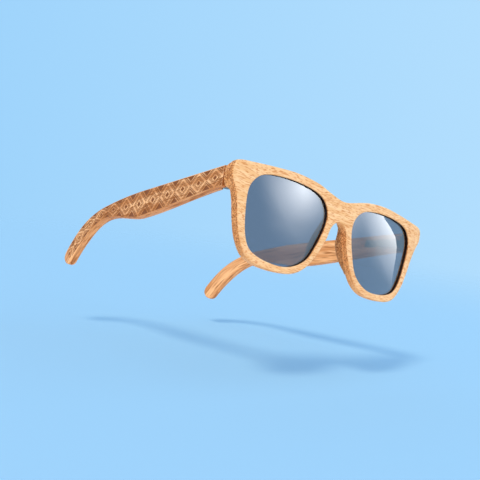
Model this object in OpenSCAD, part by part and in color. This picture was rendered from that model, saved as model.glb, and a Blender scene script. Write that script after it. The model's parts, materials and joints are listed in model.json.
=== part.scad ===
// Wooden sunglasses with spring hinges, standing open on their rims and temple tips.
// +X is the viewer's right, the front faces -Y, the temples run back along +Y, +Z is up.
// Left and right are the viewer's, looking at the front.

/* [Front] */
// Width over the front, from end-piece to end-piece
front_w = 140.4; // [134:0.2:148]
// Width of each lens opening
lens_w = 50.5; // [47:0.5:53]
// Height of each lens opening
lens_h = 40.6; // [37:0.2:44]
// Distance between the two lens openings
bridge_w = 19; // [17:0.5:22]
// Height of the bridge, from its arch to the brow line
bridge_h = 10.7; // [8:0.1:13]
// How far the brow line dips over the bridge
brow_dip = 5.3; // [2:0.1:7]
// Width of the rim above the lens
rim_top = 4; // [3:0.1:6]
// Width of the rim below the lens
rim_bottom = 3.3; // [2.5:0.1:5]
// Width of the rim on the temple side
rim_side = 4.2; // [3:0.1:5]
// Width of the rim on the nose side
rim_nose = 4.2; // [3:0.1:5]
// Thickness of the wooden front
front_t = 4.5; // [4:0.1:6]
// Radius of the front's bow, seen from above
bow_r = 480; // [350:10:800]
// Forward lean of the front when it stands, in degrees
lean = 4.1; // [2:0.1:6]

/* [Lenses] */
// Thickness of a lens
lens_t = 1.8; // [1.4:0.1:2]
// How far the lens sits behind the front face
lens_in = 1.4; // [1.2:0.1:1.6]
// Depth of the groove that holds the lens edge
groove_d = 0.9; // [0.6:0.1:1.2]
// Clearance of the lens in its groove
lens_clear = 0.05; // [0.02:0.01:0.1]

/* [Nose pads] */
// How far a nose pad stands out behind the rim
pad_d = 4; // [2:0.1:5]
// Length of a nose pad
pad_l = 23; // [16:0.5:25]
// Height of the pad's middle below the lens centre
pad_low = 3.5; // [2:0.1:6]

/* [Temples] */
// Thickness of a temple
temple_t = 4.5; // [4.2:0.1:5.5]
// Height of a temple at its butt end
butt_h = 9.8; // [9.4:0.1:11]
// Height of a temple at its widest
wide_h = 13.5; // [12:0.1:14]
// Height of a temple at its neck, where the ear bend starts
neck_h = 7; // [6:0.1:8]
// Height of a temple at its tip
tip_h = 9.4; // [8.6:0.1:9.8]
// Distance from the butt to the widest place, along the top edge
wide_at = 70; // [60:1:74]
// Length of the straight part of the top edge
straight_l = 68; // [60:1:74]
// Distance from the butt to the ear bend, along the top edge
bend_at = 108; // [104:1:112]
// Length of the ear bend along the top edge
bend_l = 40; // [38:0.5:41]
// Slope of the straight part, in degrees
butt_slope = 5.1; // [4.6:0.1:5.4]
// Slope of the top edge where the ear bend starts, in degrees
bend_slope = 12.5; // [11.5:0.1:13]
// Slope of the tip, in degrees
tip_slope = 50; // [48:0.5:51]
// Turn of each temple towards the other, in degrees
toe_in = 6; // [3:0.5:8]
// Gap at the joint between temple and end-piece
butt_gap = 0.15; // [0.1:0.05:0.3]

/* [Hinges] */
// Distance of the end-piece's butt face behind the middle of the bridge
butt_y = 10; // [9.8:0.1:11]
// Height of the pivot's middle above the lens centre
pivot_up = 14.1; // [13.6:0.1:14.6]
// Distance of the pivot behind the butt face
pivot_back = 2.2; // [2.1:0.1:2.6]
// Distance of the pivot inside the temple's inner face
pivot_in = 0.3; // [0.2:0.05:0.6]
// How far the hinge sits below the middle of the butt
hinge_low = 1.4; // [1:0.1:1.6]
// Radius of the hinge knuckles and of the eye between them
knuckle_r = 1.9; // [1.7:0.05:2]
// Height of each knuckle on the plate
knuckle_h = 2.1; // [1.8:0.1:2.2]
// Height of the eye
eye_h = 2.2; // [2:0.1:2.4]
// Gap above and below the eye
eye_gap = 0.1; // [0.05:0.01:0.15]
// Radius of the pivot screw's shank
pivot_r = 0.75; // [0.6:0.05:0.85]
// Running clearance round the pivot screw
pivot_clear = 0.04; // [0.02:0.01:0.08]
// Thickness of the hinge plate on the front
plate_t = 1.2; // [1:0.1:1.4]
// Height of the hinge plate
plate_h = 7.6; // [7.2:0.1:8]
// How far the hinge plate lies below the butt face
plate_sink = 0.5; // [0.4:0.1:0.8]
// Reach of the hinge plate inwards from the pivot
plate_reach = 4.9; // [4.6:0.1:5.1]
// Clearance between the knuckles and the wood
wood_clear = 0.25; // [0.2:0.05:0.4]

/* [Spring units] */
// Half width of the spring housing across the temple
housing_r = 1.9; // [1.7:0.05:2]
// Length of the spring housing's box
housing_l = 12.8; // [12:0.1:15]
// Length of the screw tongue behind the box
tongue_l = 8.4; // [8:0.1:10]
// Thickness of the screw tongue
tongue_t = 0.8; // [0.6:0.1:1]
// Thickness of the housing's front wall
housing_wall = 1.2; // [1:0.1:1.5]
// Radius of the bore that holds the spring
spring_bore_r = 1.3; // [1.2:0.05:1.35]
// Length of the fitted spring
spring_l = 8; // [7:0.1:8.6]
// Radius of the spring at the middle of its wire
coil_r = 0.92; // [0.88:0.01:0.96]
// Diameter of the spring wire
wire_d = 0.35; // [0.3:0.01:0.4]
// Number of turns in the spring
turns = 6; // [5:1:7]
// Thickness of the nut at the end of the slider
nut_t = 1.4; // [1:0.1:1.8]
// Half width of the slider's square neck
neck_r = 0.85; // [0.7:0.05:0.95]
// Radius of the slider's round shank
shank_r = 0.58; // [0.5:0.02:0.62]
// Sliding clearance of the spring unit
slide_clear = 0.06; // [0.03:0.01:0.1]

/* [Screws] */
// Radius of a wood screw's shank
screw_r = 0.6; // [0.5:0.05:0.7]
// Radius of a wood screw's head
screw_head_r = 1.1; // [0.9:0.05:1.15]
// Length of a tongue screw in the wood
screw_l = 2.4; // [2:0.1:3]
// Clearance between the end of a plate screw and the back of the lens
screw_room = 0.2; // [0.1:0.05:0.4]
// Clearance round a wood screw
screw_clear = 0.03; // [0.02:0.01:0.06]
// Width of the slot in a screw's head
slot_w = 0.35; // [0.3:0.05:0.5]
// Radius of the pivot screw's head
pivot_head_r = 1.35; // [1.2:0.05:1.6]
// Height of the pivot screw's head
pivot_head_h = 0.7; // [0.6:0.05:0.8]

/* [Hidden] */
$fn = 48;
wood = "#e0ab72";
pale_wood = "#f2c68f";
smoke = "#6f87a5";
steel = "#8f9296";

half_w = front_w / 2;
lens_x = (lens_w + bridge_w) / 2;
brow = lens_h / 2 + rim_top;
foot = lens_h / 2 + rim_bottom;
through = 60;
over = 1;
gap = 0.1;

// Lens outline from its own centre, the temple side at +X, in shares of its half width and half height
a = lens_w / 2;
b = lens_h / 2;
lens_shape = [
  [1, 0.32], [0.909, 0.724], [0.624, 0.936], [0, 1], [-0.624, 0.916], [-0.913, 0.695],
  [-1, 0.33], [-0.857, -0.251], [-0.612, -0.744], [-0.119, -1], [0.564, -0.916], [0.865, -0.567]
];
lens_knots = [for (p = lens_shape) [p.x * a, p.y * b]];

// Outline of the front's right half, from the top of the bridge round to the arch below it,
// each place set off from the nearest line in shares of the lens or of the rim
side_x = lens_x + a + rim_side;
nose_x = lens_x - a - rim_nose;
dip = brow - brow_dip;
arch = dip - bridge_h;
half_knots = [
  [0, dip], [bridge_w / 2, dip + 0.32 * brow_dip], [bridge_w, brow - 0.23 * brow_dip],
  [lens_x - 0.08 * a, brow], [lens_x + 0.436 * a, brow - 0.15 * rim_top],
  [half_w - 0.436 * a, brow - 0.45 * rim_top], [half_w - 0.119 * a, brow - 0.7 * rim_top],
  [half_w - 0.016 * a, brow - 1.25 * rim_top], [half_w, brow - 2.5 * rim_top],
  [half_w - 0.107 * a, brow - 3.8 * rim_top],
  [side_x + 0.036 * a, 0.153 * b], [side_x - 0.05 * a, -0.251 * b], [side_x - 0.17 * a, -0.645 * b],
  [side_x - 0.375 * a, 0.182 * b - foot], [lens_x + 0.49 * a, 0.034 * b - foot],
  [lens_x + 0.04 * a, -foot], [lens_x - 0.317 * a, 0.044 * b - foot],
  [lens_x - 0.578 * a, 0.192 * b - foot],
  [nose_x + 0.392 * a, -0.744 * b], [nose_x + 0.222 * a, -0.429 * b],
  [nose_x + 0.087 * a, -0.094 * b], [nose_x + 0.012 * a, 0.212 * b],
  [0.142 * bridge_w, arch - 0.15 * rim_top], [0, arch]
];
last = len(half_knots) - 1;
front_knots = concat(half_knots, [for (i = [last - 1 : -1 : 1]) [-half_knots[i].x, half_knots[i].y]]);

// Point at t along a smooth curve between knots p1 and p2
function curve_point(p0, p1, p2, p3, t) =
  0.5 * (2 * p1 + (p2 - p0) * t + (2 * p0 - 5 * p1 + 4 * p2 - p3) * t * t
    + (3 * p1 - p0 - 3 * p2 + p3) * t * t * t);
// Closed smooth outline through the knots, with n points from each knot to the next
function smooth(knots, n) =
  let (m = len(knots))
  [for (i = [0 : m - 1], j = [0 : n - 1])
    curve_point(knots[(i + m - 1) % m], knots[i], knots[(i + 1) % m], knots[(i + 2) % m], j / n)];
// Outline moved outwards by d, for points that run anticlockwise
function grown(p, d) =
  let (m = len(p))
  [for (i = [0 : m - 1])
    let (along = p[(i + 1) % m] - p[(i + m - 1) % m])
    p[i] + d * [along.y, -along.x] / norm(along)];

lens_outline = smooth(lens_knots, 4);
front_outline = smooth(front_knots, 3);

// The front stands on the rims: height of the lens centre, and the end-piece's place
bow_at_foot = bow_r - sqrt(bow_r * bow_r - lens_x * lens_x);
rise = foot * cos(lean) - bow_at_foot * sin(lean);
pivot_z = rise + pivot_up;
pivot_y = butt_y + pivot_back;
pivot_x = half_w - (temple_t + pivot_in) * cos(toe_in) - pivot_back * sin(toe_in);
butt_top = pivot_z + butt_h / 2;
butt_low = pivot_z - butt_h / 2;

// Top edge of a temple: straight, a shallow arc, the ear bend and a short tip down to the surface
function arc_at(from, slope, radius, turned) =
  from + radius * [sin(slope + turned) - sin(slope), cos(slope + turned) - cos(slope)];
shallow_r = (bend_at - straight_l) * 180 / PI / (bend_slope - butt_slope);
bend_r = bend_l * 180 / PI / (tip_slope - bend_slope);
top_start = [-pivot_back, butt_h / 2];
straight_end = top_start + straight_l * [cos(butt_slope), -sin(butt_slope)];
bend_start = arc_at(straight_end, butt_slope, shallow_r, bend_slope - butt_slope);
tip_start = arc_at(bend_start, bend_slope, bend_r, tip_slope - bend_slope);
tip_r = tip_h / 2;
tip_l = max(over, (tip_start.y + pivot_z - tip_r * (1 + cos(tip_slope))) / sin(tip_slope));
bend_end = bend_at + bend_l;
top_l = bend_end + tip_l;
function slope_at(s) =
  s < straight_l ? butt_slope
  : s < bend_at ? butt_slope + (bend_slope - butt_slope) * (s - straight_l) / (bend_at - straight_l)
  : s < bend_end ? bend_slope + (tip_slope - bend_slope) * (s - bend_at) / bend_l
  : tip_slope;
function top_at(s) =
  s < straight_l ? top_start + s * [cos(butt_slope), -sin(butt_slope)]
  : s < bend_at ? arc_at(straight_end, butt_slope, shallow_r, slope_at(s) - butt_slope)
  : s < bend_end ? arc_at(bend_start, bend_slope, bend_r, slope_at(s) - bend_slope)
  : tip_start + (s - bend_end) * [cos(tip_slope), -sin(tip_slope)];
function ease(t) = let (u = min(max(t, 0), 1)) u * u * (3 - 2 * u);
function height_at(s) =
  s < wide_at ? butt_h + (wide_h - butt_h) * ease(s / wide_at)
  : s < bend_at ? wide_h + (neck_h - wide_h) * ease((s - wide_at) / (bend_at - wide_at))
  : neck_h + (tip_h - neck_h) * ease((s - bend_at) / bend_l);
function low_at(s) = top_at(s) - height_at(s) * [sin(slope_at(s)), cos(slope_at(s))];
tip_centre = top_at(top_l) - tip_r * [sin(tip_slope), cos(tip_slope)];
edge_steps = 40;
tip_steps = 10;
blank_l = 4;
temple_outline = concat(
  [top_start + blank_l * [-cos(butt_slope), sin(butt_slope)]],
  [for (i = [0 : edge_steps]) top_at(top_l * i / edge_steps)],
  [for (i = [1 : tip_steps - 1])
    let (turn = 90 - tip_slope - 180 * i / tip_steps)
    tip_centre + tip_r * [cos(turn), sin(turn)]],
  [for (i = [edge_steps : -1 : 0]) low_at(top_l * i / edge_steps)],
  [low_at(0) + blank_l * [-cos(butt_slope), sin(butt_slope)]]
);

// The origin lies midway between the brow's foremost point and the temple tips
brow_y = -(brow - brow_dip) * sin(lean);
tip_y = pivot_y + (tip_centre.x + tip_r) * cos(toe_in) + (temple_t + pivot_in) * sin(toe_in);
mid_y = (brow_y + tip_y) / 2;

// Spring unit, measured back from the pivot
eye_room = 0.5;
housing_at = knuckle_r + eye_room;
housing_end = housing_at + housing_l;
spring_at = housing_at + housing_wall;
nut_at = spring_at + spring_l;
inner_face = pivot_in;
tongue_face = inner_face - tongue_t;
tongue_screws = [housing_end + tongue_l / 4, housing_end + tongue_l * 3 / 4];
stack_low = -eye_h / 2 - eye_gap - knuckle_h;
stack_high = -stack_low;
hinge_top = max(plate_h / 2, stack_high + pivot_head_h);
plate_back = -pivot_back - plate_sink;
plate_screw_o = knuckle_r + (plate_reach - knuckle_r) / 2;
plate_screw_z = plate_h / 2 - screw_head_r - gap;
head_t = 0.6;

// Plate screws reach forward from the plate's seat to just behind the lens
lens_edge = lens_x + a + groove_d;
lens_back = bow_r - sqrt(bow_r * bow_r - lens_edge * lens_edge) + lens_in + lens_t;
low_screw = pivot_up - hinge_low - plate_screw_z - screw_r;
lens_y = lens_back * cos(lean) - low_screw * sin(lean);
plate_screw_l = pivot_y + plate_back - plate_t - lens_y - screw_room;

// Places
module stand() { translate([0, -mid_y, 0]) children(); }
module in_front() { stand() translate([0, 0, rise]) rotate([lean, 0, 0]) children(); }
module at_pivot() { stand() translate([pivot_x, pivot_y, pivot_z]) children(); }
module at_hinge() { at_pivot() translate([0, 0, -hinge_low]) children(); }
module in_temple() { at_pivot() rotate([0, 0, toe_in]) children(); }
module in_hinge() { at_hinge() rotate([0, 0, toe_in]) children(); }
module on_left() { mirror([1, 0, 0]) children(); }

// Shapes that repeat
module prism(outline) {
  translate([0, through / 2, 0]) rotate([90, 0, 0]) linear_extrude(through) polygon(outline);
}
module bowed_sheet(from, thick) {
  translate([0, bow_r, -through]) difference() {
    cylinder(r = bow_r - from, h = 2 * through, $fn = 360);
    translate([0, 0, -over]) cylinder(r = bow_r - from - thick, h = 2 * (through + over), $fn = 360);
  }
}
module lens_prism(d) { translate([lens_x, 0, 0]) prism(grown(lens_outline, d)); }
module box(low, high) { translate(low) cube(high - low); }
module rod_back(r, from, to) { translate([0, from, 0]) rotate([-90, 0, 0]) cylinder(r = r, h = to - from); }

// End-piece: a block from the corner of the front back to the butt face
end_inner = lens_x + a + lens_t / 4;
end_corner = [
  [end_inner, brow - 0.55 * rim_top], half_knots[6], half_knots[7], half_knots[8], half_knots[9],
  [end_inner, brow - 4 * rim_top]
];
slab = 0.5;
module end_piece() {
  corner_y = bow_r - sqrt(bow_r * bow_r - end_inner * end_inner) + front_t / 2;
  hull() {
    in_front() translate([0, corner_y + slab, 0]) rotate([90, 0, 0]) linear_extrude(slab) polygon(end_corner);
    stand() box([end_inner, butt_y - slab, butt_low], [half_w, butt_y, butt_top]);
  }
}
module hinge_recess() {
  deep = [-plate_reach - gap, plate_back - plate_t, -plate_h / 2 - gap];
  at_hinge() box(deep, [knuckle_r + wood_clear, pivot_back, plate_h / 2 + gap]);
}
module plate_pilots() {
  at_hinge() for (z = [-plate_screw_z, plate_screw_z])
    translate([-plate_screw_o, 0, z])
      rod_back(screw_r + screw_clear, plate_back - plate_t - plate_screw_l - gap, plate_back);
}

module front_half_cuts() {
  in_front() lens_prism(0);
  in_front() intersection() {
    bowed_sheet(lens_in - lens_clear, lens_t + 2 * lens_clear);
    lens_prism(groove_d);
  }
  hinge_recess();
  plate_pilots();
}
module front_frame() color(pale_wood) {
  difference() {
    union() {
      in_front() intersection() {
        bowed_sheet(0, front_t);
        prism(front_outline);
      }
      end_piece();
      on_left() end_piece();
    }
    front_half_cuts();
    on_left() front_half_cuts();
  }
}

module lens() color(smoke, 0.6) {
  in_front() intersection() {
    bowed_sheet(lens_in, lens_t);
    lens_prism(groove_d - lens_clear);
  }
}

// Nose pad: the rim's own outline, crowned along its length
pad_r = (pad_l * pad_l / 4 + pad_d * pad_d) / (2 * pad_d);
pad_off = 0.3;
module nose_pad() color(wood) {
  crown_y = front_t + pad_d - pad_r;
  in_front() intersection() {
    difference() {
      prism(front_outline);
      lens_prism(pad_off);
    }
    bowed_sheet(front_t, pad_d);
    translate([over, crown_y, -pad_low]) rotate([0, 90, 0])
      cylinder(r = pad_r, h = lens_x - a / 2, $fn = 360);
  }
}

module temple_arm() color(wood) {
  pocket_z = housing_r + slide_clear;
  notch = [-temple_t, -2 * pivot_back, -plate_h / 2 - gap];
  difference() {
    in_temple() translate([inner_face, 0, 0]) rotate([90, 0, 90])
      linear_extrude(temple_t) polygon(temple_outline);
    stand() box([0, 0, 0], [front_w, butt_y + butt_gap, through]);
    in_hinge() {
      box(notch, [knuckle_r + wood_clear, housing_at, hinge_top + gap]);
      box([-temple_t, 0, -pocket_z], [housing_r + slide_clear, housing_end + slide_clear, pocket_z]);
      for (y = tongue_screws) translate([inner_face - over, y, 0]) rotate([0, 90, 0])
        cylinder(r = screw_r + screw_clear, h = screw_l + over + 2 * gap);
    }
  }
}

module hinge_plate() color(steel) {
  at_hinge() difference() {
    union() {
      box([-plate_reach, plate_back - plate_t, -plate_h / 2], [knuckle_r, plate_back, plate_h / 2]);
      for (z = [stack_low, stack_high - knuckle_h]) {
        translate([0, 0, z]) cylinder(r = knuckle_r, h = knuckle_h);
        box([-knuckle_r, plate_back - plate_t / 2, z], [knuckle_r, 0, z + knuckle_h]);
      }
    }
    translate([0, 0, stack_low - over])
      cylinder(r = pivot_r + pivot_clear, h = 2 * (stack_high + over));
    for (z = [-plate_screw_z, plate_screw_z])
      translate([-plate_screw_o, 0, z]) {
        rod_back(screw_r + screw_clear, plate_back - plate_t - over, plate_back + over);
        rod_back(screw_head_r + screw_clear, plate_back - head_t, plate_back + over);
      }
  }
}

// Slotted wood screw along +Y, its head's outer face at y = 0
module wood_screw(reach) {
  difference() {
    union() {
      rod_back(screw_r, -reach, -head_t / 2);
      rod_back(screw_head_r, -head_t, 0);
    }
    box([-slot_w / 2, -head_t / 2, -through], [slot_w / 2, over, through]);
  }
}
module plate_screws() color(steel) {
  at_hinge() for (z = [-plate_screw_z, plate_screw_z])
    translate([-plate_screw_o, plate_back, z]) wood_screw(plate_t + plate_screw_l);
}
module housing_screws() color(steel) {
  in_hinge() for (y = tongue_screws)
    translate([tongue_face, y, 0]) rotate([0, 0, 90]) wood_screw(tongue_t + screw_l);
}

module pivot_screw() color(steel) {
  at_hinge() difference() {
    union() {
      translate([0, 0, stack_low]) cylinder(r = pivot_r, h = stack_high - stack_low + pivot_head_h / 2);
      translate([0, 0, stack_high]) cylinder(r = pivot_head_r, h = pivot_head_h);
    }
    box([-slot_w / 2, -through, stack_high + pivot_head_h / 2], [slot_w / 2, through, stack_high + over]);
  }
}

module hinge_slider() color(steel) {
  in_hinge() difference() {
    union() {
      translate([0, 0, -eye_h / 2]) cylinder(r = knuckle_r, h = eye_h);
      box([-neck_r, 0, -neck_r], [neck_r, spring_at, neck_r]);
      rod_back(shank_r, spring_at - over, nut_at + nut_t);
    }
    translate([0, 0, -eye_h]) cylinder(r = pivot_r + pivot_clear, h = 2 * eye_h);
  }
}

module slider_nut() color(steel) {
  in_hinge() difference() {
    rod_back(spring_bore_r - slide_clear, nut_at, nut_at + nut_t);
    rod_back(shank_r + screw_clear, nut_at - over, nut_at + nut_t + over);
  }
}

// Spring: one wire swept along its helix, from the housing's front wall to the nut
wire_sides = 6;
turn_steps = 8;
end_room = wire_d / 2 + slide_clear / 3;
module hinge_spring() color(steel) {
  steps = turns * turn_steps;
  rise_l = spring_l - 2 * end_room;
  points = [for (i = [0 : steps], k = [0 : wire_sides - 1])
    let (
      turn = 360 * i / turn_steps,
      side = 360 * k / wire_sides,
      r = coil_r + wire_d / 2 * cos(side)
    )
    [r * cos(turn), spring_at + end_room + rise_l * i / steps + wire_d / 2 * sin(side), r * sin(turn)]];
  walls = [for (i = [0 : steps - 1], k = [0 : wire_sides - 1])
    let (
      p = i * wire_sides + k,
      q = i * wire_sides + (k + 1) % wire_sides
    )
    each [[p, q, q + wire_sides], [p, q + wire_sides, p + wire_sides]]];
  first = [for (k = [1 : wire_sides - 2]) [0, k + 1, k]];
  final = [for (k = [1 : wire_sides - 2]) steps * wire_sides * [1, 1, 1] + [0, k, k + 1]];
  in_hinge() polyhedron(points, concat(walls, first, final));
}

module spring_housing() color(steel) {
  neck_room = neck_r + slide_clear;
  in_hinge() difference() {
    union() {
      box([-housing_r, housing_at, -housing_r], [housing_r, housing_end, housing_r]);
      box([tongue_face, housing_end - over, -housing_r], [inner_face, housing_end + tongue_l, housing_r]);
    }
    box([-neck_room, 0, -neck_room], [neck_room, spring_at + over, neck_room]);
    rod_back(spring_bore_r, spring_at, housing_end + over);
    for (y = tongue_screws) translate([inner_face, y, 0]) rotate([0, 0, 90]) {
      rod_back(screw_r + screw_clear, -2 * over, 2 * over);
      rod_back(screw_head_r + screw_clear, tongue_t - head_t, 2 * over);
    }
  }
}

front_frame();
on_left() lens();  // lens_left
lens();  // lens_right
on_left() nose_pad();  // nose_pad_left
nose_pad();  // nose_pad_right
on_left() temple_arm();  // temple_arm_left
temple_arm();  // temple_arm_right
on_left() hinge_plate();  // hinge_plate_left
hinge_plate();  // hinge_plate_right
on_left() plate_screws();  // plate_screws_left
plate_screws();  // plate_screws_right
on_left() pivot_screw();  // pivot_screw_left
pivot_screw();  // pivot_screw_right
on_left() hinge_slider();  // hinge_slider_left
hinge_slider();  // hinge_slider_right
on_left() slider_nut();  // slider_nut_left
slider_nut();  // slider_nut_right
on_left() hinge_spring();  // hinge_spring_left
hinge_spring();  // hinge_spring_right
on_left() spring_housing();  // spring_housing_left
spring_housing();  // spring_housing_right
on_left() housing_screws();  // housing_screws_left
housing_screws();  // housing_screws_right
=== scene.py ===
import json
import math

import bmesh
import bpy
from mathutils import Matrix, Vector


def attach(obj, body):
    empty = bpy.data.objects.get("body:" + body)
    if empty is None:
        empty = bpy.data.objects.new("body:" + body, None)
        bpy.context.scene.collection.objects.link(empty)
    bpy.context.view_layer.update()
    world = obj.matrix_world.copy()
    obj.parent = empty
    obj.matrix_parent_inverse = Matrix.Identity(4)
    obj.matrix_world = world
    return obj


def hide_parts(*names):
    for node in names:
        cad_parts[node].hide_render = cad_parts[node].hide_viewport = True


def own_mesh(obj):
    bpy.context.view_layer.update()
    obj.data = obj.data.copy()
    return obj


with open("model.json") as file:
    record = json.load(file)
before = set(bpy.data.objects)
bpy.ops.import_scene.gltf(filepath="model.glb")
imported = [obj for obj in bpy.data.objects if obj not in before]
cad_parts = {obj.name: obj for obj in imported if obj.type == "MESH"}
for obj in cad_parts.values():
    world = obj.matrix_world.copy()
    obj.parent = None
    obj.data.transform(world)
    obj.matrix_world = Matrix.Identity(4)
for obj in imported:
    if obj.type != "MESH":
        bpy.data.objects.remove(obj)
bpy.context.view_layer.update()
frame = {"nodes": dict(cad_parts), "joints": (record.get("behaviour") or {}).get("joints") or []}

bl_info = {
    "name": "Wooden sunglasses",
    "version": (1, 0, 0),
    "blender": (4, 5, 0),
    "location": "View3D > Sidebar > Sunglasses",
    "description": "Dresses a pair of wooden sunglasses with spring hinges",
    "category": "Add Mesh",
}

# Sizes of the part are in millimetres, as the solids have them, and angles are in radians
MM = 0.001
QUARTER = [math.radians(a) for a in (0, 30, 60, 90)]
SHARP = math.radians(40)

# Front: a bowed board that leans forward, with two rims, a bridge and two end-pieces
FRONT_W = 140.4
FRONT_T = 4.5
BOW_R = 480.0
LEAN = math.radians(4.1)
BRIDGE_W = 19.0
BRIDGE_H = 10.7
BROW_DIP = 5.3
RIM_TOP = 4.0
RIM_BOTTOM = 3.3
RIM_SIDE = 4.2
RIM_NOSE = 4.2

# Lenses: LENS_IN is how far they sit behind the front's face
LENS_W = 50.5
LENS_H = 40.6
LENS_T = 1.8
LENS_IN = 1.4
LENS_CLEAR = 0.05
GROOVE = 0.9

# Scorch by the cutter, with painted shade, in a lens opening, measured from the end of its rounded edge
SCORCH_SHADE_FROM = 0.15
SCORCH_SHADE_FULL = 0.4

# Nose pads: PAD_LOW is the height of their middle below the lens centres
PAD_D = 4.0
PAD_L = 23.0
PAD_LOW = 3.5
PAD_EDGE = 1.3
PAD_LEAST = 0.05
PAD_SINK = 1.0
PAD_PROUD = 0.02
PAD_SHORT = 0.35

# Temples: TEMPLE_IN is how far their inner face lies outside the pivot
TEMPLE_T = 4.5
TEMPLE_IN = 0.3
BUTT_H = 9.8
WIDE_H = 13.5
NECK_H = 7.0
TIP_H = 9.4
TIP_R = TIP_H / 2
WIDE_AT = 70.0
STRAIGHT_L = 68.0
BEND_AT = 108.0
BEND_L = 40.0
TIP_L = 2.854
BUTT_SLOPE = math.radians(5.1)
BEND_SLOPE = math.radians(12.5)
TIP_SLOPE = math.radians(50)
TOE_IN = math.radians(6)
BUTT_GAP = 0.15

# Engraving: where it starts and ends, and the bands round each lozenge, in shares of half its length
ENGRAVE_FROM = 0.8
ENGRAVE_PAST = 1.0
ENGRAVE_EDGE = 0.25
ENGRAVE_FADE = (0.5, 1.5)
PLAIN_BANDS = [(-1, 0.24), (0.66, 0.72), (1.02, 1.12), (1.2, 1.34), (1.46, 3)]
BEAD_BAND = (0.4, 0.62)
BEAD_FILL = 0.3
BEADS = 4.5
BAND_EDGE = 0.06

# Hinges: the pivot stands behind the butt face and above the lens centres, and the hinge sits a
# little below the middle of the butt. HINGE_TOP is how far it reaches above its own middle.
BUTT_Y = 10.0
PIVOT_BACK = 2.2
PIVOT_UP = 14.1
HINGE_LOW = 1.4
HINGE_TOP = 4.0
KNUCKLE_R = 1.9
EYE_ROOM = 0.5
WOOD_CLEAR = 0.25
PLATE_GAP = 0.1
PLATE_H = 7.6
PLATE_T = 1.2
PLATE_SINK = 0.5
PLATE_REACH = 4.9

# Spring units
HOUSING_R = 1.9
HOUSING_L = 12.8
HOUSING_WALL = 1.2
SLIDE_CLEAR = 0.06
SPRING_L = 8.0
COIL_R = 0.92
WIRE_R = 0.175
TURNS = 6
SPRING_CLEAR = 0.02

# Grain of the two woods: axis along it, lengths along and across it of the growth bands and of the
# flecks, and how the fibres drift: over what length and how far
FRONT_GRAIN = {"axis": 0, "streak": (26, 1.6), "fleck": (3.5, 0.42), "drift": (16, 3)}
TEMPLE_GRAIN = {"axis": 1, "streak": (60, 3.2), "fleck": (15, 0.8), "drift": (40, 5)}
PORE = (5, 0.65)

# Camera at the photograph's angle: turn, lift and roll, the place it looks at and its distance in
# metres, and its lens and sensor in millimetres
VIEW_TURN = math.radians(-42.14)
VIEW_LIFT = math.radians(-9.42)
VIEW_ROLL = math.radians(8.64)
VIEW_AT = Vector((-0.0341, -0.0436, 0.0162))
VIEW_FROM = 0.4645
VIEW_LENS = 71.29
SENSOR_W = 36

# Floor, lamp and light from the front: places in metres and directions
FLOOR_AT = (0.0114, 0.0014, -0.0382)
FLOOR_UP = Vector((-0.175, -0.175, 0.969))
FLOOR_R = 1.0
FLOOR_FADE = (0.25, 0.9)
LAMP_FROM = Vector((-0.731, -0.45, 0.513))
LAMP_WIDTH = math.radians(11)
KEY_FROM = (0.52, -0.62, 0.59)

# Panel that the lenses reflect, in metres: its place, its outline's knots, and the middle and radii of
# its two hot places
PANEL_AT = Vector((0, -0.06, 0.03))
PANEL_FROM = 0.9
PANEL_TURN = math.radians(50)
PANEL_LIFT = math.radians(9)
PANEL_KNOTS = [
    (-0.48, 0.27), (-0.48, -0.24), (0.3, -0.24), (0.294, -0.16), (0.284, -0.1),
    (0.266, -0.05), (0.23, -0.015), (0.18, 0.012), (0.1, 0.06), (-0.1, 0.24),
]
HOT_RIGHT = ((0.292, 0.11), (0.42, 0.265))
HOT_LEFT = ((-0.2, 0.055), (0.3, 0.225))
HOT_RATIO = 2.6

# Places that follow from the sizes. TOP_L is the length of a temple's top edge.
HALF_W = FRONT_W / 2
LENS_X = (LENS_W + BRIDGE_W) / 2
LENS_A = LENS_W / 2
LENS_B = LENS_H / 2
BROW = LENS_B + RIM_TOP
FOOT = LENS_B + RIM_BOTTOM
SIDE_X = LENS_X + LENS_A + RIM_SIDE
NOSE_X = LENS_X - LENS_A - RIM_NOSE
ARCH_TOP = BROW - BROW_DIP
ARCH_LOW = ARCH_TOP - BRIDGE_H
TOP_L = BEND_AT + BEND_L + TIP_L
KNUCKLE_ROOM = KNUCKLE_R + WOOD_CLEAR
PLATE_ROOM = PLATE_H / 2 + PLATE_GAP
RECESS_IN = PLATE_REACH + PLATE_GAP
RECESS_DEEP = PIVOT_BACK + PLATE_SINK + PLATE_T
NOTCH_TOP = HINGE_TOP + PLATE_GAP
HOUSING_AT = KNUCKLE_R + EYE_ROOM
POCKET_R = HOUSING_R + SLIDE_CLEAR
POCKET_END = HOUSING_AT + HOUSING_L + SLIDE_CLEAR
SPRING_AT = HOUSING_AT + HOUSING_WALL

# Places from the frame's joints: the right pivot, the height of the lens centres, and how far the middle
# of the bridge lies before the origin
JOINTS = {joint["name"]: joint for joint in frame["joints"]}
PIVOT = [c / MM for c in JOINTS["fold_right"]["pos_m"]]
RISE = PIVOT[2] - PIVOT_UP
MID_Y = BUTT_Y + PIVOT_BACK - PIVOT[1]

# Lens outline from its own centre, anticlockwise from the temple side, in shares of its half sizes
LENS_SHAPE = [
    (1, 0.32), (0.909, 0.724), (0.624, 0.936), (0, 1), (-0.624, 0.916), (-0.913, 0.695),
    (-1, 0.33), (-0.857, -0.251), (-0.612, -0.744), (-0.119, -1), (0.564, -0.916), (0.865, -0.567),
]
LENS_KNOTS = [(x * LENS_A, w * LENS_B) for x, w in LENS_SHAPE]

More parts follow.
